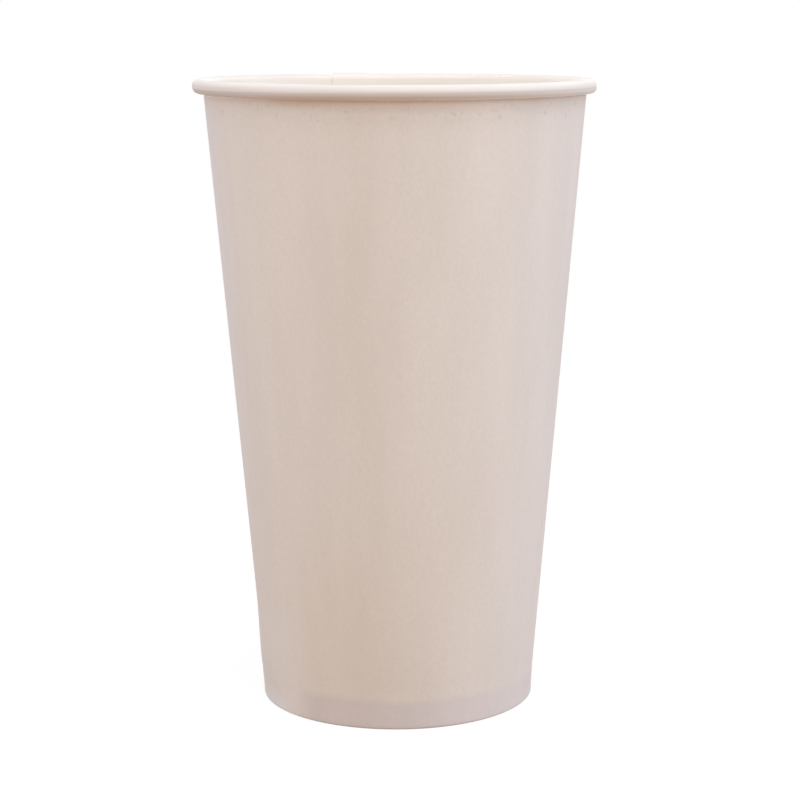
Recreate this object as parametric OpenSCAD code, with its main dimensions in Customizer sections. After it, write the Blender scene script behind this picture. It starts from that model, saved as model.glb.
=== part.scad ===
// Single-wall paper cup: one rolled blank of coated board and a separate base.
// The blank is lapped at a side seam, curled outward into the rim and folded in at the foot,
// where the turned-down skirt of the base is sealed between the wall and the turned-up hem.

/* [Cup] */
// Height from the table to the top of the rolled rim
cup_height = 140.5; // [120:0.5:160]
// Outside diameter of the rolled rim
rim_diameter = 90; // [80:0.5:100]
// Outside diameter of the straight band at the foot
foot_diameter = 62.2; // [54:0.2:70]

/* [Board] */
// Thickness of the coated cup board
board = 0.35; // [0.25:0.01:0.5]
// Glue line between two sealed layers
seal_gap = 0.05; // [0.02:0.01:0.1]

/* [Rolled rim] */
// Width of the rolled rim, from the inside of the wall to its outermost point
bead_width = 2.7; // [2.2:0.1:4]
// Straight length of the rolled rim's sides, between its upper and its lower bend
bead_side = 0.4; // [0.1:0.1:2]
// Gap between the rolled-in raw edge and the wall
curl_gap = 0.25; // [0.1:0.05:0.5]

/* [Side seam] */
// Direction of the inner raw edge, in degrees from +X
seam_angle = 111; // [0:1:359]
// Width of the sealed overlap
lap_width = 8; // [5:0.5:12]
// How far the doubled board lifts the rim over the overlap
lap_rise = 0.25; // [0.1:0.05:0.4]
// How far the centre of the outer layer's run-out lies from the cup's axis
runout_offset = 18; // [12:1:22]

/* [Foot] */
// Height of the straight foot band, and of the hem turned up inside it
hem_height = 5.6; // [4:0.1:9]
// Room between the edge of the turned-up hem and the underside of the base
hem_room = 1.2; // [0.5:0.1:3]

/* [Hidden] */
outer_paper = [0.85, 0.79, 0.74];
inner_paper = [0.93, 0.89, 0.86];
$fn = 180;
small_arc = 48;

rim_r = rim_diameter / 2;
foot_r = foot_diameter / 2;

// The rim's upper bend in the plane of radius and height
bead_r = bead_width / 2;
bead_x = rim_r - bead_r;
bead_z = cup_height - bead_r;

// The wall's outer face runs from the top of the foot band to the inside of the rolled rim
wall_reach = norm([bead_x - foot_r, bead_z - hem_height]);
wall_lean = atan2(bead_x - foot_r, bead_z - hem_height) - asin((bead_r - board) / wall_reach);
wall_length = sqrt(pow(wall_reach, 2) - pow(bead_r - board, 2));

// How far one layer is let into another that it is one sheet with
root = board / 2;

// Wall, skirt and hem with their two glue lines
hem_t = 3 * board + 2 * seal_gap;
hem_r = foot_r - hem_t;

skirt_r = foot_r - board - seal_gap;
skirt_bend = 2 * board;
base_z = hem_height + hem_room;
base_top = base_z + board;

// Depth of the groove beside the inner raw edge, as a share of the board
groove_share = 0.8;

// A plane in which u runs outward from the wall's inner face and v runs up along it,
// from the level of the rim's upper bend
module wall_plane() {
    translate([bead_x, bead_z])
        rotate(-wall_lean)
            translate([-bead_r, 0])
                children();
}

// A slot of two bends, with its upper bend at u = bead_r, v = 0
module bead_outline(r) {
    translate([bead_r, 0])
        circle(r, $fn = small_arc);
    translate([bead_r, -bead_side])
        circle(r, $fn = small_arc);
    translate([bead_r - r, -bead_side])
        square([2 * r, bead_side]);
}

// The curl, open towards the wall so that its raw edge stands off by the curl gap
module curl_profile() {
    difference() {
        bead_outline(bead_r);
        bead_outline(bead_r - board);
        translate([-root, -bead_side - bead_width])
            square([root + board + curl_gap, bead_side + bead_width]);
    }
}

// The wall folded inward and up at the foot, with a slot for the skirt
// and a tongue that roots the flared wall in the straight band
module hem_profile() {
    difference() {
        union() {
            translate([hem_r, board])
                square([hem_t, hem_height - board]);
            translate([foot_r - root, hem_height - root])
                square([root, 2 * root]);
            translate([hem_r + board, 0])
                square([hem_t - 2 * board, board]);
            for (r = [hem_r + board, foot_r - board])
                translate([r, board])
                    circle(board, $fn = small_arc);
        }
        translate([hem_r + board, board])
            square([hem_t - 2 * board, hem_height]);
    }
}

module wall_profile() {
    wall_plane() {
        curl_profile();
        translate([0, -wall_length - root])
            square([board, wall_length + root]);
    }
    hem_profile();
}

// A layer along the wall's outside, from u = from to u = to, below the rim's lower bend
module outer_layer(from, to) {
    wall_plane()
        translate([from, -wall_length - root])
            square([to - from, wall_length + root - bead_side]);
    translate([foot_r - board + from, board])
        square([to - from, hem_height - board]);
}

// The region inside a cone that touches the given depth of board at the seam
module runout_body(depth, low) {
    translate([runout_offset, 0])
        rotate_extrude()
            translate([-runout_offset, 0])
                intersection() {
                    outer_layer(-foot_r, depth);
                    translate([runout_offset, low])
                        square([rim_r, cup_height]);
                }
}

// The part of a ring on one side of the seam, from y = near, over a width
module beside_seam(near, width) {
    intersection() {
        children();
        translate([0, near])
            cube([rim_diameter, width, cup_height + bead_width]);
    }
}

// The overlap: a second layer outside the wall and inside the hem, and a thicker rim
module lap() {
    beside_seam(-lap_width, lap_width)
        rotate_extrude()
            outer_layer(root, 2 * board);
    beside_seam(-lap_width, lap_width)
        rotate_extrude()
            translate([hem_r - board, board])
                square([board + root, hem_height - board]);
    beside_seam(-lap_width, lap_width)
        rotate_extrude()
            wall_plane()
                intersection() {
                    difference() {
                        translate([bead_r, lap_rise])
                            circle(bead_r, $fn = small_arc);
                        bead_outline(bead_r - board);
                    }
                    square(2 * bead_width);
                }
}

// Past the inner raw edge the outer layer runs down onto the wall's own cone
module lap_runout() {
    beside_seam(0, foot_r)
        intersection() {
            rotate_extrude()
                outer_layer(root, 3 * board);
            runout_body(2 * board, 0);
        }
}

// The inside of that layer, a shallow groove beside the inner raw edge
module seam_groove() {
    beside_seam(0, foot_r)
        runout_body(groove_share * board, base_top);
}

module side_wall() {
    color(outer_paper)
        rotate(seam_angle)
            difference() {
                union() {
                    rotate_extrude()
                        wall_profile();
                    lap();
                    lap_runout();
                }
                seam_groove();
            }
}

// A flat disc with its edge bent down into a skirt that stands in the fold of the hem
module base_disc() {
    color(inner_paper)
        rotate_extrude() {
            translate([0, base_z])
                square([skirt_r - skirt_bend, board]);
            translate([skirt_r - board, board + seal_gap])
                square([board, base_top - skirt_bend - board - seal_gap]);
            translate([skirt_r - skirt_bend, base_top - skirt_bend])
                intersection() {
                    difference() {
                        circle(skirt_bend, $fn = small_arc);
                        circle(skirt_bend - board, $fn = small_arc);
                    }
                    square(skirt_bend);
                }
        }
}

side_wall();
base_disc();
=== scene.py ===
# %% [markdown]
# # A rolled paper cup
# A takeaway cup is two pieces of coated board. The side wall is one flat blank, rolled into a
# cone and lapped at a seam; its top edge is curled outward into the rim and its bottom edge is
# folded inward over the skirt of a separate base. This lesson rolls the blank the way the cup
# machine does, as one thin sheet that gets its thickness last, so that the seam, the rim and
# the foot all come out of the same piece of board.

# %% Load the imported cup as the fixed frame
import math

import bmesh
import bpy
from mathutils import Matrix, Vector


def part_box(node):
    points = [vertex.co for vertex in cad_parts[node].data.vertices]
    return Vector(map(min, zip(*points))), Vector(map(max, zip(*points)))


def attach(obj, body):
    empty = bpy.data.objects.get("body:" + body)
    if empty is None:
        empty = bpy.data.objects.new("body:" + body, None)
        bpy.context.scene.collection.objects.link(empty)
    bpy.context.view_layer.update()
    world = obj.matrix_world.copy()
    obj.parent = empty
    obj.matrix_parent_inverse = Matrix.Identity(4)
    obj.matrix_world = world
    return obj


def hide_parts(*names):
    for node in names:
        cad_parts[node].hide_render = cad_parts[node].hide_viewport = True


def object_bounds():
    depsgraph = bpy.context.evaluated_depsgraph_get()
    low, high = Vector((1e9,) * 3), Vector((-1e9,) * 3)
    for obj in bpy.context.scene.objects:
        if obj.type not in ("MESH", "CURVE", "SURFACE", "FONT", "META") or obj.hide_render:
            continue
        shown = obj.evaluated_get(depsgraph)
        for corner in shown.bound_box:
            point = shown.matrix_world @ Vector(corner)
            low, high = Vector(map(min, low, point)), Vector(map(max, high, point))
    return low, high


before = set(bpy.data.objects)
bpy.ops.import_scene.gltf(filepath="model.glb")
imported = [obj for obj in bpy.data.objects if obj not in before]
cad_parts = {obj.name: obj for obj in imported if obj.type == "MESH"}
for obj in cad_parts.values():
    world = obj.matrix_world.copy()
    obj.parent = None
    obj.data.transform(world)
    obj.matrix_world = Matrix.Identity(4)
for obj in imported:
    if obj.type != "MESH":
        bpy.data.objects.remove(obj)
cad_low, cad_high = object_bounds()

print("CAD nodes:", sorted(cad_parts), "box", [round(x, 5) for x in (*cad_low, *cad_high)])

# %% [markdown]
# ## The sizes
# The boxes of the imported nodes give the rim, the height and the base. What a box can't tell,
# such as the thickness of the board or the width of the rolled rim, is written here once, in
# metres, and the main lines of the cup are worked out from these few values.

# %% Sizes of the cup
mm = 0.001

board = 0.35 * mm
glue_line = 0.05 * mm
bead_width = 2.7 * mm
bead_side = 0.4 * mm
curl_gap = 0.16 * mm
lap_width = 8 * mm
lap_rise = 0.25 * mm
seam_direction = math.radians(111)
hem_height = 5.6 * mm
fold_bend = 0.42 * mm

base_low, base_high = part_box("base_disc")
rim_radius = (cad_high.x - cad_low.x) / 2
cup_height = cad_high.z - lap_rise
skirt_radius = base_high.x
base_top = base_high.z
foot_radius = skirt_radius + glue_line + board
hem_radius = foot_radius - 3 * board - 2 * glue_line
print(f"rim {rim_radius / mm:.2f} mm, foot {foot_radius / mm:.2f} mm, height {cup_height / mm:.2f} mm")

# %% The lean of the wall
bead_radius = bead_width / 2
curl_radius = bead_radius - board
bead_centre = Vector((rim_radius - bead_radius, cup_height - bead_radius))
foot_corner = Vector((foot_radius, hem_height))
reach = bead_centre - foot_corner
wall_lean = math.atan2(reach.x, reach.y) - math.asin(curl_radius / reach.length)
wall_up = Vector((math.sin(wall_lean), math.cos(wall_lean)))
wall_out = Vector((math.cos(wall_lean), -math.sin(wall_lean)))
print(f"the wall leans out by {math.degrees(wall_lean):.2f} degrees")

# %% [markdown]
# ## The section of the blank
# Cut through a cup, its board is one line: from the raw edge of the hem down inside the foot,
# round the fold, up the wall, over the top and round the curl of the rim. It could be typed as
# a list of points, but then every bend would be a guess. Here the line is drawn as by hand:
# straight stretches are extruded and round ones are spun about the middle of their bend, which
# keeps the bends true arcs. The line is the outer, uncoated face of the board.
#
# An operator acts on what is selected, so the first helpers do what a hand does between two
# operators: leave edit mode, or pick one object alone.

# %% Picking one piece
def leave_edit_mode():
    if bpy.context.object and bpy.context.object.mode == "EDIT":
        bpy.ops.object.mode_set(mode="OBJECT")


def select_only(piece):
    leave_edit_mode()
    bpy.ops.object.select_all(action="DESELECT")
    piece.select_set(True)
    bpy.context.view_layer.objects.active = piece


def edit_only(piece):
    select_only(piece)
    bpy.ops.object.mode_set(mode="EDIT")
    bpy.ops.mesh.select_mode(type="VERT")


# %% Drawing a section in the XZ plane
def start_section(name, place):
    """A new object of one vertex: a small plane, merged at its middle and moved to its place."""
    leave_edit_mode()
    bpy.ops.object.select_all(action="DESELECT")
    bpy.ops.mesh.primitive_plane_add(size=board, location=(0, 0, 0))
    piece = bpy.context.object
    piece.name = piece.data.name = name
    edit_only(piece)
    bpy.ops.mesh.select_all(action="SELECT")
    bpy.ops.mesh.merge(type="CENTER")
    bpy.ops.transform.translate(value=(place.x, 0, place.y))
    return piece


def draw_line(step, rows):
    """Extrudes the picked vertex along a straight step, in equal rows."""
    move = {"value": (step.x / rows, 0, step.y / rows)}
    for _ in range(rows):
        bpy.ops.mesh.extrude_region_move(TRANSFORM_OT_translate=move)


def draw_bend(centre, angle, rows):
    """Spins the picked vertex about a point; a positive angle bends to the left."""
    bpy.ops.mesh.spin(steps=rows, angle=angle, center=(centre.x, 0, centre.y), axis=(0, 1, 0))


# %% Draw the hem, the wall and the curl
quarter = math.pi / 2
fold_flat = foot_radius - hem_radius - 2 * fold_bend
curl_end = math.acos((board + curl_gap - bead_radius) / (bead_radius - board / 2))
hem_rows = 8
fold_rows = 6
wall_rows = 46
rim_top_rows = 14
curl_rows = 12

wall = start_section("rolled_side_wall", Vector((hem_radius, hem_height)))
draw_line(Vector((0, fold_bend - hem_height)), hem_rows)
draw_bend(Vector((hem_radius + fold_bend, fold_bend)), quarter, fold_rows)
draw_line(Vector((fold_flat, 0)), 1)
draw_bend(Vector((foot_radius - fold_bend, fold_bend)), quarter, fold_rows)
draw_line(Vector((0, hem_height - fold_bend)), hem_rows)
draw_line(bead_centre - wall_out * curl_radius - foot_corner, wall_rows)
draw_bend(bead_centre, -2 * quarter, rim_top_rows)
draw_line(-wall_up * bead_side, 1)
draw_bend(bead_centre - wall_up * bead_side, -curl_end, curl_rows)
section_rows = len(bmesh.from_edit_mesh(wall.data).verts)
print("vertices along the section:", section_rows)

# %% [markdown]
# ## Rolling the blank
# The real blank goes once round and a little further, so that its end laps over its start. A
# closed cone with a strip laid on it would show no raw edge inside, so the section is spun the
# way the blank is rolled: nearly a full turn first, then the run-out and the lap, which are
# kept as a vertex group because they lie over columns that are already there. The lap is cut
# off along a straight line, as the blank's own edge is.

# %% Rolling, and picking vertices by where they are
def roll(degrees):
    """Spins what is picked about the cup's axis, clockwise from above, a column for each degree."""
    bpy.ops.mesh.spin(steps=degrees, angle=math.radians(degrees), center=(0, 0, 0), axis=(0, 0, 1))


def pick(test):
    """Selects the vertices in edit mode that pass a test, and says how many there are."""
    mesh = bmesh.from_edit_mesh(bpy.context.object.data)
    mesh.verts.index_update()
    for vertex in mesh.verts:
        vertex.select = test(vertex)
    mesh.select_flush_mode()
    bmesh.update_edit_mesh(bpy.context.object.data)
    return sum(vertex.select for vertex in mesh.verts)


def seam_angle(vertex):
    """Degrees round the axis from the inner raw edge, positive on the run-out's side."""
    return math.degrees(math.atan2(vertex.co.y, vertex.co.x))


# %% Spin the sheet
runout_degrees = 12
lap_degrees = 16
half_column_degrees = 0.5

bpy.ops.mesh.select_all(action="SELECT")
roll(360 - runout_degrees)
edit_only(wall)
first_turn = len(wall.data.vertices)
picked = pick(lambda v: abs(seam_angle(v) - runout_degrees) < half_column_degrees)
roll(runout_degrees + lap_degrees)
print("the first turn ends with", picked, "vertices of", section_rows)

# %% Turn the faces outward and trim the lap
def on_lap(vertex):
    return vertex.index >= first_turn and vertex.co.y < board


bpy.ops.mesh.select_all(action="SELECT")
bpy.ops.mesh.normals_make_consistent(inside=False)
select_only(wall)
over_layer = wall.vertex_groups.new(name="over_layer")
over_layer.add(list(range(first_turn, len(wall.data.vertices))), 1, "REPLACE")
middle_face = min(wall.data.polygons, key=lambda f: abs(f.center.z - cup_height / 2))
edit_only(wall)
if middle_face.normal.xy.dot(middle_face.center.xy) < 0:
    bpy.ops.mesh.select_all(action="SELECT")
    bpy.ops.mesh.flip_normals()

pick(on_lap)
bpy.ops.mesh.bisect(plane_co=(0, -lap_width, 0), plane_no=(0, -1, 0), clear_outer=True)
leave_edit_mode()
print("sheet:", len(wall.data.vertices), "vertices,", len(wall.data.polygons), "faces")

# %% [markdown]
# ## One layer over the other
# Where the board is doubled, one layer must lie outside the other. The end of the sheet is
# pushed out by the board and the glue line, running up to that over the last few degrees. At
# the rim the curl squeezes the pair, so there the under layer rises instead and the rim is a
# little fatter over the lap. Painted weights say how far each vertex moves: they can fade as
# smoothly as paper bends, which moving a few picked rows could not.

# %% Painting weights and pushing
def smooth_step(low, high, value):
    """From 0 at low to 1 at high, with no kink at either end."""
    share = min(max((value - low) / (high - low), 0), 1)
    return share * share * (3 - 2 * share)


def apply_modifier(piece, kind, name, **settings):
    select_only(piece)
    modifier = piece.modifiers.new(name, kind)
    for setting, value in settings.items():
        setattr(modifier, setting, value)
    bpy.ops.object.modifier_apply(modifier=name)


def push(piece, name, distance, weight, direction="NORMAL"):
    """Paints a weight on each vertex and pushes the vertices by that share of a distance."""
    select_only(piece)
    group = piece.vertex_groups.new(name=name)
    painted = 0
    for vertex in piece.data.vertices:
        share = weight(vertex)
        if share > 0:
            group.add([vertex.index], share, "REPLACE")
            painted += 1
    apply_modifier(piece, "DISPLACE", name, vertex_group=name, strength=distance,
                   mid_level=0, direction=direction)
    print(f"{piece.name}: {name} moves {painted} vertices by up to {distance / mm:.2f} mm")


# %% Where the layers are, and what squeezes them
squeeze_from = cup_height - 12 * mm
squeeze_full = bead_centre.y - bead_width
fold_clear = 4 * board
over_index = wall.vertex_groups["over_layer"].index


def is_over(vertex):
    return any(entry.group == over_index for entry in vertex.groups)


def near_rim(vertex):
    return smooth_step(squeeze_from, squeeze_full, vertex.co.z)


def off_fold(vertex):
    return smooth_step(0, fold_clear, vertex.co.z)


print(sum(is_over(v) for v in wall.data.vertices), "vertices belong to the over layer")

# %% Lift the over layer and swell the rim over the lap
rim_share = 0.3
fold_share = 0.35
fade_degrees = 5


def over_weight(vertex):
    if not is_over(vertex):
        return 0
    along = smooth_step(runout_degrees, 0, seam_angle(vertex))
    rim = near_rim(vertex)
    return along * off_fold(vertex) * (1 - rim + rim * rim_share)


def under_weight(vertex):
    if is_over(vertex):
        return 0
    angle = -seam_angle(vertex)
    if angle < -half_column_degrees:
        return 0
    lap_end = math.degrees(math.asin(lap_width / vertex.co.xy.length))
    along = smooth_step(lap_end + fade_degrees, lap_end, angle)
    return along * max(near_rim(vertex), fold_share * (1 - off_fold(vertex)))


push(wall, "under_swell", -lap_rise, under_weight)
push(wall, "over_lift", board + glue_line, over_weight)

# %% [markdown]
# ## Knurling
# A toothed wheel rolls round inside the foot and presses the hem onto the skirt. It leaves
# fine upright ridges on the hem. A bump in the material would not show in the outline, so
# every second column is pushed out, which gives one ridge for each two degrees. The straight
# band outside shows them too, much fainter.

# %% Press the ridges
knurl_depth = 0.14 * mm
knurl_outside_share = 0.12
ridge_margin = 0.7 * mm


def knurl_weight(vertex):
    odd_column = round(seam_angle(vertex)) % 2
    if not odd_column:
        return 0
    height = vertex.co.z
    on_hem = vertex.co.xy.length < hem_radius + board
    ridge = smooth_step(fold_bend, fold_bend + ridge_margin, height)
    ridge *= smooth_step(hem_height, hem_height - ridge_margin, height)
    return ridge * (1 if on_hem else knurl_outside_share)


push(wall, "knurl", knurl_depth, knurl_weight)

# %% [markdown]
# ## Thickness
# Solidify now gives the sheet the thickness of the board. Its outer face keeps the first
# material, the new inner face gets the second and the cut edges the third, which is how a
# coated board looks: raw paper outside, a thin lining inside and pale fibre at every cut. The
# inside of the wall becomes the outside of the curl, so the rim is lined too. Two sheets set
# apart by hand would need their edges bridged; the modifier does both at once.
#
# The raw edge of the seam inside the cup is pressed over when the lap is sealed. Its lined
# corner is therefore moved back a little, so the edge slopes instead of standing square.

# %% Give the sheet its board
def thicken(piece):
    """Adds the board's thickness inward; the three slots must be there to be dealt out."""
    for _ in range(3):
        piece.data.materials.append(None)
    apply_modifier(piece, "SOLIDIFY", "board", thickness=board, offset=-1, use_even_offset=True,
                   use_quality_normals=True, material_offset=1, material_offset_rim=2)


outer_face = len(wall.data.vertices)
thicken(wall)
print("thickened from", outer_face, "to", len(wall.data.vertices), "vertices")

# %% Press the raw edge over and turn the seam to its place
edge_press = 0.3 * mm
smooth_below = math.radians(35)


def raw_edge(vertex):
    """The lined corner of the raw edge inside the cup, and round the curl of the rim."""
    lined = vertex.index >= outer_face and not is_over(vertex)
    return 1 if lined and abs(seam_angle(vertex)) < half_column_degrees else 0


def corners(piece):
    """Two opposite corners of a piece's box, in millimetres."""
    return [round(x / mm, 2) for x in (*piece.bound_box[0], *piece.bound_box[6])]


push(wall, "pressed_edge", -edge_press, raw_edge, direction="Y")
wall.rotation_euler.z = seam_direction
bpy.ops.object.transform_apply(location=False, rotation=True, scale=False)
bpy.ops.object.shade_smooth_by_angle(angle=smooth_below)
print("side wall:", len(wall.data.polygons), "faces, corners", corners(wall))

# %% [markdown]
# ## The base
# The base is a disc whose edge is drawn down into a skirt. A circle could be filled and its
# edge extruded, but the bend would then be left to a bevel. So it starts as half a section
# too: out from the middle, round the bend and down the skirt, spun a full turn. Start and end
# of the turn meet, and so do all the vertices at the middle, so doubles are merged before the
# normals are set and the board gets its thickness. A paper disc never stays quite flat, so its
# middle sags a little.

# %% Draw and spin the base
skirt_bend = 2 * board
flat_radius = skirt_radius - skirt_bend
base_rows = 18
skirt_bend_rows = 8
skirt_rows = 6
merge_distance = board / 100

base = start_section("drawn_base", Vector((0, base_top)))
draw_line(Vector((flat_radius, 0)), base_rows)
draw_bend(Vector((flat_radius, base_top - skirt_bend)), -quarter, skirt_bend_rows)
draw_line(Vector((0, base_low.z - base_top + skirt_bend)), skirt_rows)
bpy.ops.mesh.select_all(action="SELECT")
roll(360)
bpy.ops.mesh.select_all(action="SELECT")
bpy.ops.mesh.remove_doubles(threshold=merge_distance)
bpy.ops.mesh.normals_make_consistent(inside=False)
select_only(base)
top_face = max(base.data.polygons, key=lambda f: f.center.z)
if top_face.normal.z < 0:
    edit_only(base)
    bpy.ops.mesh.select_all(action="SELECT")
    bpy.ops.mesh.flip_normals()
print("base sheet:", len(base.data.vertices), "vertices")

# %% Sag and thicken the base
base_sag = 0.2 * mm


def sag_weight(vertex):
    return smooth_step(flat_radius, 0, vertex.co.xy.length)


push(base, "sag", -base_sag, sag_weight, direction="Z")
thicken(base)
bpy.ops.object.shade_smooth_by_angle(angle=smooth_below)
print("base:", len(base.data.polygons), "faces, corners", corners(base))

# %% [markdown]
# ## A cup that was handled
# No paper cup is perfectly round. Against a straight edge this one bulges by less than half a
# millimetre low down at the left and is tucked in at the right; its rolled rim stands a little
# higher at the left and is a little flatter at the right. A lattice could bend the whole cup,
# but these are local, so they are pushes that fade out smoothly. Wall and base move together
# at the foot.

# %% The foot, a little out of round
foot_bulge = 0.41 * mm
bulge_low = 7.5 * mm
bulge_high = 8 * mm
bulge_end = 24 * mm
foot_tuck = 0.2 * mm
tuck_full = 1 * mm
tuck_end = 6 * mm


def left_foot(vertex):
    around = smooth_step(0, foot_radius, -vertex.co.x)
    upward = smooth_step(0, bulge_low, vertex.co.z) * smooth_step(bulge_end, bulge_high, vertex.co.z)
    return around * upward


def right_foot(vertex):
    return smooth_step(0, foot_radius, vertex.co.x) * smooth_step(tuck_end, tuck_full, vertex.co.z)


for piece in (wall, base):
    push(piece, "foot_bulge", -foot_bulge, left_foot, direction="X")
    push(piece, "foot_tuck", -foot_tuck, right_foot, direction="X")

# %% The rim, lifted at the left and flattened at the right
rim_lift = 0.35 * mm
lift_from = 134 * mm
lift_full = 138 * mm
rim_dent = 0.4 * mm
dent_from = 137.2 * mm
dent_full = 139.2 * mm
dent_narrowing = 4


def left_rim(vertex):
    return smooth_step(0, rim_radius, -vertex.co.x) * smooth_step(lift_from, lift_full, vertex.co.z)


def right_rim(vertex):
    toward = max(vertex.co.x, 0) / rim_radius
    outer = smooth_step(rim_radius - bead_width, rim_radius, vertex.co.xy.length)
    return toward ** dent_narrowing * outer * smooth_step(dent_from, dent_full, vertex.co.z)


push(wall, "rim_lift", rim_lift, left_rim, direction="Z")
push(wall, "rim_dent", -rim_dent, right_rim, direction="X")

# %% [markdown]
# ## Camera
# The camera stands a little above the rim and looks down by ten degrees, about half a metre
# away. It could be aimed by eye; here distance, height and lens were fitted to the outline of
# the cup in the photograph, because the curve of the rim gives the height away at once.

# %% Place the camera
camera_distance = 486.56 * mm
camera_height = 154.02 * mm
camera_side = 0.74 * mm
camera_pitch = math.radians(10.023)
camera_roll = math.radians(-0.294)
camera_lens = 97.45
sensor_width = 36

camera_data = bpy.data.cameras.new("camera")
camera_data.lens = camera_lens
camera_data.sensor_width = sensor_width
camera = bpy.data.objects.new("camera", camera_data)
bpy.context.scene.collection.objects.link(camera)
camera.matrix_world = (
    Matrix.Translation((camera_side, -camera_distance, camera_height))
    @ Matrix.Rotation(quarter - camera_pitch, 4, "X")
    @ Matrix.Rotation(camera_roll, 4, "Z")
)
bpy.context.scene.camera = camera
print("camera at", [round(x, 3) for x in camera.matrix_world.translation])

# %% [markdown]
# ## Uncoated paper
# Raw cup board is matt and slightly warm. Looked at closely it is cloudy, because the fibres
# settle unevenly on the machine's wire, and over that lies a fine grain of single fibres that
# can be felt as well as seen. A scanned picture would repeat and would need a file, so the
# paper is made of noise on Object coordinates: clouds and grain vary the colour, and the grain
# also drives the bump and the roughness, so that light and colour agree.
#
# The helpers keep the node trees readable. A source is either a number or the output of
# another node.

# %% Nodes and sums
def new_material(name):
    material = bpy.data.materials.new(name)
    material.use_nodes = True
    return material


def feed(tree, target, source):
    """Sets a constant on a socket, or links another socket to it."""
    if isinstance(source, bpy.types.NodeSocket):
        tree.links.new(source, target)
    else:
        target.default_value = source


def add_node(tree, kind, inputs=None, **settings):
    node = tree.nodes.new("ShaderNode" + kind)
    for setting, value in settings.items():
        setattr(node, setting, value)
    for name, source in (inputs or {}).items():
        feed(tree, node.inputs[name], source)
    return node


def calculate(tree, operation, *sources):
    node = add_node(tree, "Math", operation=operation)
    for socket, source in zip(node.inputs, sources):
        feed(tree, socket, source)
    return node.outputs["Value"]


def vector_calculate(tree, operation, *sources):
    node = add_node(tree, "VectorMath", operation=operation)
    for socket, source in zip(node.inputs, sources):
        feed(tree, socket, source)
    return node.outputs["Value" if operation == "LENGTH" else "Vector"]


# %% Slopes, mixtures and noise
per_mm = 1 / mm
noise_middle = 0.5


def slope(tree, value, low, high, start=0.0, end=1.0):
    """A smooth change from start to end while the value goes from low to high, or down to it."""
    inputs = {"Value": value, "From Min": low, "From Max": high, "To Min": start, "To Max": end}
    node = add_node(tree, "MapRange", inputs, interpolation_type="SMOOTHSTEP")
    return node.outputs["Result"]


def mix_colour(tree, share, first, second, blend="MIX"):
    node = add_node(tree, "Mix", data_type="RGBA", blend_type=blend)
    for index, source in ((0, share), (6, first), (7, second)):
        feed(tree, node.inputs[index], source)
    return node.outputs[2]


def even_grey(tree, level):
    """A grey whose three channels all have the same level."""
    node = add_node(tree, "CombineColor", {"Red": level, "Green": level, "Blue": level})
    return node.outputs["Color"]


def noise(tree, place, size, detail=3.0, roughness=0.5):
    """Noise whose blots are about as large as size, given in millimetres along x, y and z."""
    scale = tuple(per_mm / length for length in size)
    mapping = add_node(tree, "Mapping", {"Vector": place, "Scale": scale})
    inputs = {"Vector": mapping.outputs["Vector"], "Scale": 1.0, "Detail": detail,
              "Roughness": roughness}
    return add_node(tree, "TexNoise", inputs).outputs["Fac"]


# %% The body of the paper
cloud_range = (0.3, 0.7)
grain_size = (0.7, 0.7, 0.9)
grain_range = (0.25, 0.75)
grain_shade = (0.972, 1.024)
fibre_size = (0.16, 0.16, 0.22)
fibre_range = (0.2, 0.8)
fibre_shade = (0.98, 1.02)
fibre_relief_share = 0.5
paper_roughness = (0.74, 0.9)
paper_bump = {"Strength": 0.5, "Distance": 0.03 * mm}


def paper_body(tree, light, dark, cloud_size):
    """Object coordinates, and the colour, roughness and normal of raw board."""
    place = add_node(tree, "TexCoord").outputs["Object"]
    cloud = noise(tree, place, cloud_size)
    grain = noise(tree, place, grain_size, detail=4.0, roughness=0.6)
    fibre = noise(tree, place, fibre_size, roughness=0.7)
    clouded = mix_colour(tree, slope(tree, cloud, *cloud_range), dark, light)
    speckle = slope(tree, grain, *grain_range, *grain_shade)
    fine = slope(tree, fibre, *fibre_range, *fibre_shade)
    shade = even_grey(tree, calculate(tree, "MULTIPLY", speckle, fine))
    colour = mix_colour(tree, 1.0, clouded, shade, "MULTIPLY")
    rough = slope(tree, grain, *grain_range, *paper_roughness)
    relief = calculate(tree, "ADD", grain, calculate(tree, "MULTIPLY", fibre, fibre_relief_share))
    bump = add_node(tree, "Bump", {"Height": relief, **paper_bump})
    return place, colour, rough, bump.outputs["Normal"]


def finish_paper(material, colour, rough, normal, specular):
    tree = material.node_tree
    shader = tree.nodes["Principled BSDF"]
    feed(tree, shader.inputs["Base Color"], colour)
    feed(tree, shader.inputs["Roughness"], rough)
    feed(tree, shader.inputs["Normal"], normal)
    feed(tree, shader.inputs["Specular IOR Level"], specular)
    print(material.name, "has", len(tree.nodes), "shader nodes")


# %% Raw paper for the underside of the base
paper_light = (0.680, 0.612, 0.572, 1)
paper_dark = (0.652, 0.585, 0.543, 1)
paper_specular = 0.25
round_clouds = (14, 14, 14)

raw_paper = new_material("raw_paper")
tree = raw_paper.node_tree
place, colour, rough, normal = paper_body(tree, paper_light, paper_dark, round_clouds)
finish_paper(raw_paper, colour, rough, normal, paper_specular)

# %% [markdown]
# ## Flecks on the wall
# The wall has been stacked and handled. Under the rim runs a band of grey flecks where other
# cups rubbed. They could be painted on a picture; instead each one is a small ellipse laid out
# on the unrolled wall by angle and height, so it stays put and sharp at any distance. Noise
# breaks up its edge, and a sprinkling of finer flecks lies between them.

# %% Where a point is on the wall
tall_clouds = (11, 11, 70)

wall_paper = new_material("wall_paper")
tree = wall_paper.node_tree
place, colour, rough, normal = paper_body(tree, paper_light, paper_dark, tall_clouds)

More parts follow.
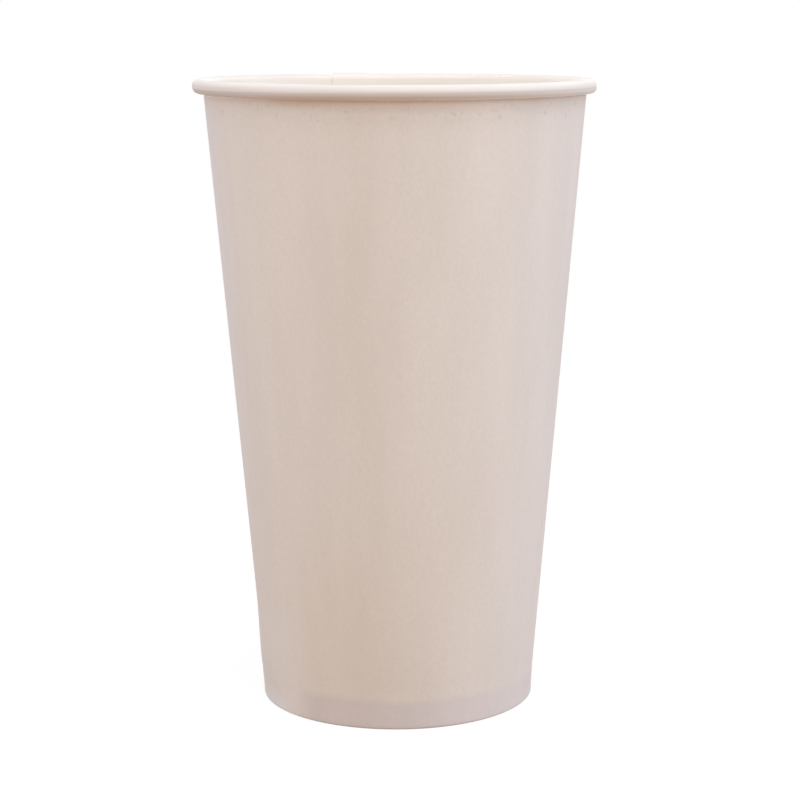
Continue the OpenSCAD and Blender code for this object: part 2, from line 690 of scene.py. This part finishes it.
axes = add_node(tree, "SeparateXYZ", {"Vector": place}).outputs
toward = calculate(tree, "MULTIPLY", axes["Y"], -1.0)
angle = calculate(tree, "ARCTAN2", axes["X"], toward)
radius = vector_calculate(tree, "LENGTH", vector_calculate(tree, "MULTIPLY", place, (1, 1, 0)))
around = calculate(tree, "MULTIPLY", angle, radius)
unrolled = add_node(tree, "CombineXYZ", {"X": around, "Y": axes["Z"]}).outputs["Vector"]
on_wall = {
    "angle": calculate(tree, "DEGREES", angle),
    "height": calculate(tree, "MULTIPLY", axes["Z"], per_mm),
}
print("places on the wall are told by", list(on_wall), "in degrees from the front and millimetres")

# %% Single flecks: degrees from the front; height, half width and half height in mm; strength
flecks = (
    (-54.4, 136.3, 0.3, 0.8, 0.6), (-61.0, 134.4, 0.7, 0.5, 0.8), (-54.2, 133.5, 0.4, 0.6, 0.5),
    (-46.3, 136.3, 0.35, 0.5, 0.8), (-42.4, 135.7, 0.35, 0.5, 0.6), (-38.4, 136.0, 0.35, 0.6, 0.55),
    (-35.7, 134.0, 0.3, 0.6, 0.6), (-30.6, 133.6, 0.3, 0.3, 0.7), (-30.7, 136.7, 0.5, 0.3, 0.5),
    (-23.0, 136.0, 0.4, 0.5, 0.4), (-24.1, 134.0, 0.35, 0.6, 0.5), (-13.9, 135.0, 0.8, 0.4, 0.7),
    (-12.8, 133.8, 0.7, 0.3, 0.5), (-11.3, 135.7, 0.4, 0.5, 0.4), (-0.8, 133.9, 0.7, 0.5, 0.6),
    (3.8, 135.6, 0.35, 0.6, 0.7), (7.5, 134.6, 0.6, 0.3, 0.7), (11.5, 134.1, 0.5, 0.4, 0.4),
    (11.7, 136.7, 0.4, 0.3, 0.4), (16.5, 134.4, 0.7, 0.4, 0.9), (19.0, 134.5, 0.3, 0.3, 0.6),
    (24.5, 134.2, 0.5, 0.5, 0.6), (28.2, 135.1, 0.6, 0.4, 0.5), (30.9, 133.7, 0.6, 0.5, 0.8),
    (34.9, 136.0, 0.4, 0.4, 0.6), (36.7, 132.3, 0.4, 0.4, 0.4), (48.3, 134.2, 0.6, 0.4, 1.0),
    (50.8, 136.0, 0.4, 0.5, 0.6), (59.9, 133.3, 0.5, 0.6, 0.7), (66.0, 135.7, 0.6, 0.6, 0.7),
    (-30.7, 25.8, 0.2, 0.25, 1.0),
)
fleck_edge = (1.3, 0.4)
ragged_size = (0.5, 0.5, 0.5)
raggedness = 2.2

ragged = calculate(tree, "SUBTRACT", noise(tree, place, ragged_size, detail=2.0), noise_middle)
ragged = calculate(tree, "MULTIPLY", ragged, raggedness)
marks = 0.0
for degrees, height, half_width, half_height, strength in flecks:
    wall_radius = foot_radius + (height * mm - hem_height) * math.tan(wall_lean)
    spot = (math.radians(degrees) * wall_radius, height * mm, 0)
    offset = vector_calculate(tree, "SUBTRACT", unrolled, spot)
    spread = (per_mm / half_width, per_mm / half_height, 0)
    distance = vector_calculate(tree, "LENGTH", vector_calculate(tree, "MULTIPLY", offset, spread))
    distance = calculate(tree, "ADD", distance, ragged)
    marks = calculate(tree, "MAXIMUM", marks, slope(tree, distance, *fleck_edge, 0.0, strength))
print(len(flecks), "flecks")

# %% The finer flecks between them
fleck_tone = (0.865, 0.87, 0.885, 1)
scatter_size = (1.1, 1.1, 0.8)
scatter_range = (0.6, 0.72)
scatter_strength = 0.45
scatter_band = (("height", 131.5, 133.5), ("height", 138, 136.5))


def mask(tree, coordinates, slopes):
    """Slopes multiplied; each gives a coordinate, two limits and, if not 0 and 1, two values."""
    share = 1.0
    for name, *limits in slopes:
        share = calculate(tree, "MULTIPLY", share, slope(tree, coordinates[name], *limits))
    return share


scatter = noise(tree, place, scatter_size, detail=2.0)
scatter = slope(tree, scatter, *scatter_range, 0.0, scatter_strength)
scatter = calculate(tree, "MULTIPLY", scatter, mask(tree, on_wall, scatter_band))
marks = calculate(tree, "MAXIMUM", marks, scatter)
colour = mix_colour(tree, marks, colour, fleck_tone, "MULTIPLY")
print("marks and finer flecks:", len(tree.nodes), "shader nodes so far")

# %% [markdown]
# ## The darker hem
# At the foot the board is doubled and pressed, so the light inside the cup, which shines through the
# single wall above, doesn't shine through it, and it looks darker and pinker there. That darkness is
# painted shade in the hem's colour. The shade is strongest in front and weaker elsewhere, and low at the
# left the paper is pale. One flat band would look printed, so a colour ramp round the cup says how strong
# the shade is, and noise lets its upper border wander.

# %% How strong the hem shows at each angle
hem_strength = (
    (-180, 0.50), (-118.8, 0.50), (-100.8, 0.12), (-47.52, 0.12), (-36, 1.0), (25.2, 0.95),
    (57.6, 0.38), (180, 0.50),
)
full_turn = 360
half_turn = 180

turn = calculate(tree, "DIVIDE", calculate(tree, "ADD", on_wall["angle"], half_turn), full_turn)
strength_ramp = add_node(tree, "ValToRGB", {"Fac": turn})
stops = strength_ramp.color_ramp.elements
while len(stops) < len(hem_strength):
    stops.new(0.5)
for stop, (degrees, value) in zip(stops, hem_strength):
    stop.position = (degrees + half_turn) / full_turn
    stop.color = (value, value, value, 1)
print("stops of the hem's shade:", [round(stop.position, 3) for stop in stops])

# %% Shade the hem and leave its left corner pale
hem_shade_tone = (0.885, 0.875, 0.935, 1)
hem_border = (7.6, 5.0)
border_size = (9, 9, 9)
border_wander = 1.6
pale_paper = (0.675, 0.645, 0.635, 1)
pale_corner = (("angle", -130, -90), ("angle", -43, -60), ("height", 5.5, 0.5, 0.0, 0.8))

wander = calculate(tree, "SUBTRACT", noise(tree, place, border_size, detail=2.0), noise_middle)
wander = calculate(tree, "MULTIPLY", wander, border_wander)
hem_level = calculate(tree, "ADD", on_wall["height"], wander)
hem = calculate(tree, "MULTIPLY", slope(tree, hem_level, *hem_border), strength_ramp.outputs["Color"])
# painted shade on the hem, where no light from inside the cup shines through
colour = mix_colour(tree, hem, colour, hem_shade_tone, "MULTIPLY")
colour = mix_colour(tree, mask(tree, on_wall, pale_corner), colour, pale_paper)
print("the hem's shade fades between", hem_border, "mm above the table")

# %% [markdown]
# ## Tones of the wall
# The wall isn't one colour all over, and most of its tones are painted light and shade. Low in front it is
# a little warmer and darker. Just under the rim in front a stretch is painted paler, a painted light that
# lifts the rim's cast shadow there; the last millimetre under the rim is painted brown shade, which
# reaches further down left of the middle; and deep in the crease the paper is painted bright, a painted
# light that lifts the shade of the crease. A lighter, cooler streak runs up the right of the front, and
# both flanks are painted a little cooler, as painted cool light from the sides. Most of these are a few
# parts in a hundred, too soft for noise and too local for one colour, so each is a tone that multiplies
# the paper's colour where its slopes are open.

# %% Paint the tones on the wall
wall_tones = {
    # a little warmer and darker low in front
    "warmer_low_front": ((0.975, 0.950, 0.915), ("angle", -58, -32), ("angle", 22, -28), ("height", 58, 20)),
    # painted light that lifts the rim's cast shadow just under the rim in front
    "painted_light_under_rim": ((1.07, 1.07, 1.075), ("angle", -38, -12), ("angle", 44, 22), ("height", 133.0, 134.8)),
    # painted shade: the rim's brown shadow on the last millimetre of wall under it
    "painted_shade_under_rim": ((0.97, 0.935, 0.895), ("height", 135.9, 136.9)),
    # painted shade: the rim's brown shadow reaching further down left of the middle
    "painted_brown_shade": ((0.95, 0.905, 0.87), ("angle", -44, -32), ("angle", -10, -22), ("height", 135.0, 136.4)),
    # painted light that brightens the shade deep in the crease under the curl
    "painted_crease_light": ((1.45, 1.49, 1.57), ("angle", -20, 30, 0.75, 1.0), ("height", 137.1, 137.45)),
    # a lighter, cooler streak up the right of the front
    "lighter_streak_right": ((1.03, 1.04, 1.05), ("angle", -12, 12), ("angle", 42, 22), ("height", 40, 75)),
    # painted cool light from the left on the left flank
    "painted_cool_light_left": ((1.012, 1.036, 1.09), ("angle", -180, -95), ("angle", -55, -76), ("height", 12, 100)),
    # painted cool light from the right on the right flank
    "painted_cool_light_right": ((0.988, 0.998, 1.022), ("angle", 22, 52), ("angle", 140, 100)),
}


def paint(tree, colour, tones, coordinates):
    """Multiplies a colour by each tone where all the tone's slopes are open."""
    for tone, *slopes in tones.values():
        colour = mix_colour(tree, mask(tree, coordinates, slopes), colour, (*tone, 1), "MULTIPLY")
    return colour


colour = paint(tree, colour, wall_tones, on_wall)
finish_paper(wall_paper, colour, rough, normal, paper_specular)
print("tones of the wall:", list(wall_tones))

# %% [markdown]
# ## The lining
# The side that touches the drink carries a thin film. It is smoother and a little whiter than
# the paper, with a soft sheen and a faint leathery unevenness from the casting roll. A second
# shell for the film would be far thinner than a hair, so it is only a material of the inner
# face.
#
# Over the rim the film is worn: matt and a little darker. On top at the back it is a little darker still,
# and inside at the left a little greyer. Along the outer shoulder, where the roll turns under, it carries
# painted shade, browner below the shoulder in front; just above the shoulder in front it carries a painted
# highlight; and in the crease under the curl painted light brightens the lining that the crease keeps in
# shade. A point on the rim is told by its depth in from the outermost line, as a share of the rim's width,
# by its level above the shoulder in millimetres, and by how far it lies to the front and to the right,
# from -1 to 1.

# %% The film and where a point is on the rim
film_dark = (0.760, 0.687, 0.631, 1)
film_light = (0.780, 0.707, 0.651, 1)
film_clouds = (16, 16, 40)
skin_size = (0.9, 0.9, 0.9)
shoulder = bead_centre.y - bead_side

lining = new_material("lining")
tree = lining.node_tree
place = add_node(tree, "TexCoord").outputs["Object"]
cloud = noise(tree, place, film_clouds)
skin = noise(tree, place, skin_size, roughness=0.55)
colour = mix_colour(tree, slope(tree, cloud, *cloud_range), film_dark, film_light)

axes = add_node(tree, "SeparateXYZ", {"Vector": place}).outputs
radius = vector_calculate(tree, "LENGTH", vector_calculate(tree, "MULTIPLY", place, (1, 1, 0)))
inward = calculate(tree, "SUBTRACT", rim_radius, radius)
upward = calculate(tree, "SUBTRACT", axes["Z"], shoulder)
on_rim = {
    "depth": calculate(tree, "DIVIDE", inward, bead_width),
    "level": calculate(tree, "MULTIPLY", upward, per_mm),
    "front": calculate(tree, "DIVIDE", axes["Y"], -rim_radius),
    "side": calculate(tree, "DIVIDE", axes["X"], rim_radius),
}
print(f"the rim's shoulder is {shoulder / mm:.2f} mm above the table")

# %% Wear, painted shade and painted light on the rolled rim
rolled = ("depth", 1.0, 0.5)
outer_part = ("depth", 0.7, 0.5)
outer_side = ("depth", 0.5, 0.25)
under_curl = ("depth", 0.922, 0.811)
at_back = ("front", 0.0, -0.4)

rim_tones = {
    "worn": ((0.885, 0.898, 0.932), rolled),
    "dulled": ((0.955, 0.95, 0.95), at_back, ("level", 0.7, 1.3)),
    "greyed": ((0.955, 0.945, 0.945), at_back, ("side", -0.2, -0.65)),
    # painted shade along the outer shoulder, where the roll turns under
    "painted_shoulder_shade": ((0.85, 0.845, 0.85), outer_side, ("level", -0.9, 0.0), ("level", 0.3, 0.0)),
    # painted shade, browner, under the shoulder in front
    "painted_brown_shade": ((0.96, 0.89, 0.855), outer_part, ("level", -0.15, -0.6), ("front", 0.7, 0.9),
                ("side", 0.35, 0.05, 0.45, 1.0)),
    # painted light that brightens the lining in the shade of the crease under the curl
    "painted_crease_light": ((1.24, 1.26, 1.28), under_curl, ("level", -0.9, -1.25)),
    # more painted light in the crease under the curl, stronger at the right
    "crease": ((1.17, 1.36, 1.48), under_curl, ("level", -1.12, -1.35), ("side", -0.2, 0.5, 0.5, 1.0)),
    # painted highlight just above the shoulder in front
    "painted_highlight": ((1.04, 1.05, 1.055), outer_side, ("level", 0.25, 0.55), ("level", 1.15, 0.75),
              ("front", 0.6, 0.85)),
}
colour = paint(tree, colour, rim_tones, on_rim)
print("tones of the rim:", list(rim_tones))

# %% Sheen of the film, matt where the rim is worn
skin_range = (0.25, 0.75)
film_roughness = (0.4, 0.52)
worn_roughness = 0.88
film_specular = 0.3
film_bump = {"Strength": 0.35, "Distance": 0.03 * mm}

sheen = slope(tree, skin, *skin_range, *film_roughness)
rough = slope(tree, mask(tree, on_rim, [rolled]), 0.0, 1.0, sheen, worn_roughness)
bump = add_node(tree, "Bump", {"Height": skin, **film_bump})
finish_paper(lining, colour, rough, bump.outputs["Normal"], film_specular)

# %% [markdown]
# ## Cut edges
# A cut edge is the bare core of the board: paler than its faces, rough and full of loose fibre. Its colour
# is set paler still, as painted light for the light that scatters through the thin board and brightens the
# edge, which its own shading leaves dark. It shows at the seam inside the cup, along the lap outside and
# at the hem. The same noise drives its colour, its roughness and its bump.

# %% The core of the board
core_dark = (0.82, 0.74, 0.67, 1)
core_light = (0.90, 0.83, 0.76, 1)
core_size = (0.25, 0.25, 0.25)
core_range = (0.3, 0.7)
core_roughness = (0.8, 0.95)
core_specular = 0.2
core_bump = {"Strength": 0.6, "Distance": 0.05 * mm}

cut_edge = new_material("cut_edge")
tree = cut_edge.node_tree
place = add_node(tree, "TexCoord").outputs["Object"]
core = noise(tree, place, core_size, detail=4.0, roughness=0.7)
# partly the core's own paleness, partly painted light for light scattering through the edge
colour = mix_colour(tree, slope(tree, core, *core_range), core_dark, core_light)
rough = slope(tree, core, *core_range, *core_roughness)
bump = add_node(tree, "Bump", {"Height": core, **core_bump})
finish_paper(cut_edge, colour, rough, bump.outputs["Normal"], core_specular)

# %% Deal the materials out: the face that was drawn, the face behind it, the cut edges
for piece, skins in ((wall, (wall_paper, lining, cut_edge)), (base, (lining, raw_paper, cut_edge))):
    for index, material in enumerate(skins):
        piece.data.materials[index] = material
    counts = [sum(f.material_index == i for f in piece.data.polygons) for i in range(len(skins))]
    print(piece.name, "faces with each material:", counts)

# %% [markdown]
# ## Floor and surround
# The cup stands on a white table before a white background. White made by more light would
# bleach the cup, so only the camera and mirror-like rays see floor and surround as white; to
# every other ray the floor is a plain warm brown that returns little light, which is why the
# underside of the rolled rim is so dark. Near the cup a part of the floor's white is left to
# the lamps, so that it keeps a faint shadow.

# %% The floor
floor_size = 6

leave_edit_mode()
bpy.ops.object.select_all(action="DESELECT")
bpy.ops.mesh.primitive_plane_add(size=floor_size, location=(0, 0, 0))
floor = bpy.context.object
floor.name = floor.data.name = "floor"
print("floor", floor.dimensions.x, "m wide")

# %% The floor's material
floor_brown = (0.41, 0.285, 0.205, 1)
white = (1, 1, 1, 1)
lit_share = 0.14
lit_near = 0.12
lit_end = 0.45


def seen_as_white(tree):
    """1 for camera rays, glossy rays and rays through glass, and 0 for all others."""
    rays = add_node(tree, "LightPath").outputs
    direct = calculate(tree, "MAXIMUM", rays["Is Camera Ray"], rays["Is Glossy Ray"])
    return calculate(tree, "MAXIMUM", direct, rays["Is Transmission Ray"])


floor_white = new_material("floor_white")
tree = floor_white.node_tree
place = add_node(tree, "TexCoord").outputs["Object"]
share = slope(tree, vector_calculate(tree, "LENGTH", place), lit_near, lit_end, lit_share, 0.0)
glow_strength = calculate(tree, "SUBTRACT", 1.0, share)
glow = add_node(tree, "Emission", {"Color": white, "Strength": glow_strength})
lit = add_node(tree, "BsdfDiffuse", {"Color": even_grey(tree, share)})
brown = add_node(tree, "BsdfDiffuse", {"Color": floor_brown})
bright = add_node(tree, "AddShader")
tree.links.new(glow.outputs["Emission"], bright.inputs[0])
tree.links.new(lit.outputs["BSDF"], bright.inputs[1])
either = add_node(tree, "MixShader", {"Fac": seen_as_white(tree)})
tree.links.new(brown.outputs["BSDF"], either.inputs[1])
tree.links.new(bright.outputs["Shader"], either.inputs[2])
tree.links.new(either.outputs["Shader"], tree.nodes["Material Output"].inputs["Surface"])
floor.data.materials.append(floor_white)
print("floor material:", len(tree.nodes), "shader nodes")

# %% The surround
surround_level = 0.385

world = bpy.data.worlds.new("surround")
bpy.context.scene.world = world
world.use_nodes = True
tree = world.node_tree
background = tree.nodes["Background"]
feed(tree, background.inputs["Color"], white)
feed(tree, background.inputs["Strength"], slope(tree, seen_as_white(tree), 0.0, 1.0, surround_level, 1.0))
print("the surround lights the cup at", surround_level)

# %% [markdown]
# ## Lamps
# The light on the cup is that of a light tent: a large soft light high in front, weaker ones
# below it, cool panels at both sides, one overhead and two low behind, which brighten the
# left flank and the back. One big dome would be simpler, but it would light the underside of
# the rim as much as its top. Each lamp is a rectangle aimed at the middle of the cup.

# %% Hang the lamps: name, azimuth and elevation in degrees, size in metres, watts, colour
lamps = (
    ("front_high", 0, 60, (1.2, 0.4), 5.2, (0.92, 0.98, 1.0)),
    ("front_middle", 0, 42, (1.4, 0.5), 1.5, (1.0, 1.0, 1.0)),
    ("front_low", 0, 20, (1.2, 0.4), 2.8, (1.0, 0.95, 0.85)),
    ("left_low", -85, 12, (0.9, 0.4), 4.7, (0.87, 0.92, 1.0)),
    ("right_low", 85, 12, (0.9, 0.4), 5.9, (0.73, 0.85, 1.0)),
    ("right_high", 75, 52, (0.9, 0.5), 2.7, (0.88, 0.95, 1.0)),
    ("overhead", 180, 80, (0.9, 0.9), 2.6, (1.0, 1.0, 1.0)),
    ("back_left", -140, 15, (0.9, 0.5), 1.8, (0.72, 0.87, 1.0)),
    ("back", 165, 18, (1.2, 0.5), 2.2, (1.0, 0.98, 0.95)),
)
lamp_distance = 1.1
middle = Vector((0, 0, cup_height / 2))

for name, azimuth, elevation, size, watts, lamp_colour in lamps:
    bearing = math.radians(azimuth)
    rise = math.radians(elevation)
    level_reach = math.cos(rise)
    direction = Vector((math.sin(bearing) * level_reach, -math.cos(bearing) * level_reach, math.sin(rise)))
    data = bpy.data.lights.new(name, "AREA")
    data.shape = "RECTANGLE"
    data.size, data.size_y = size
    data.energy = watts
    data.color = lamp_colour
    lamp = bpy.data.objects.new(name, data)
    bpy.context.scene.collection.objects.link(lamp)
    lamp.location = middle + direction * lamp_distance
    lamp.rotation_euler = direction.to_track_quat("Z", "Y").to_euler()

bpy.context.scene.view_settings.view_transform = "Standard"
print(len(lamps), "lamps")

# %% [markdown]
# ## Handing over
# The two finished pieces stand for the two imported nodes, which are hidden, and ride on the cup's only
# body.

# %% Hand the pieces to the frame
for piece, node, slot in ((wall, "side_wall", "wall_board"), (base, "base_disc", "base_board")):
    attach(piece, "root")
    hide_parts(node)
    print(piece.name, "stands for", node)
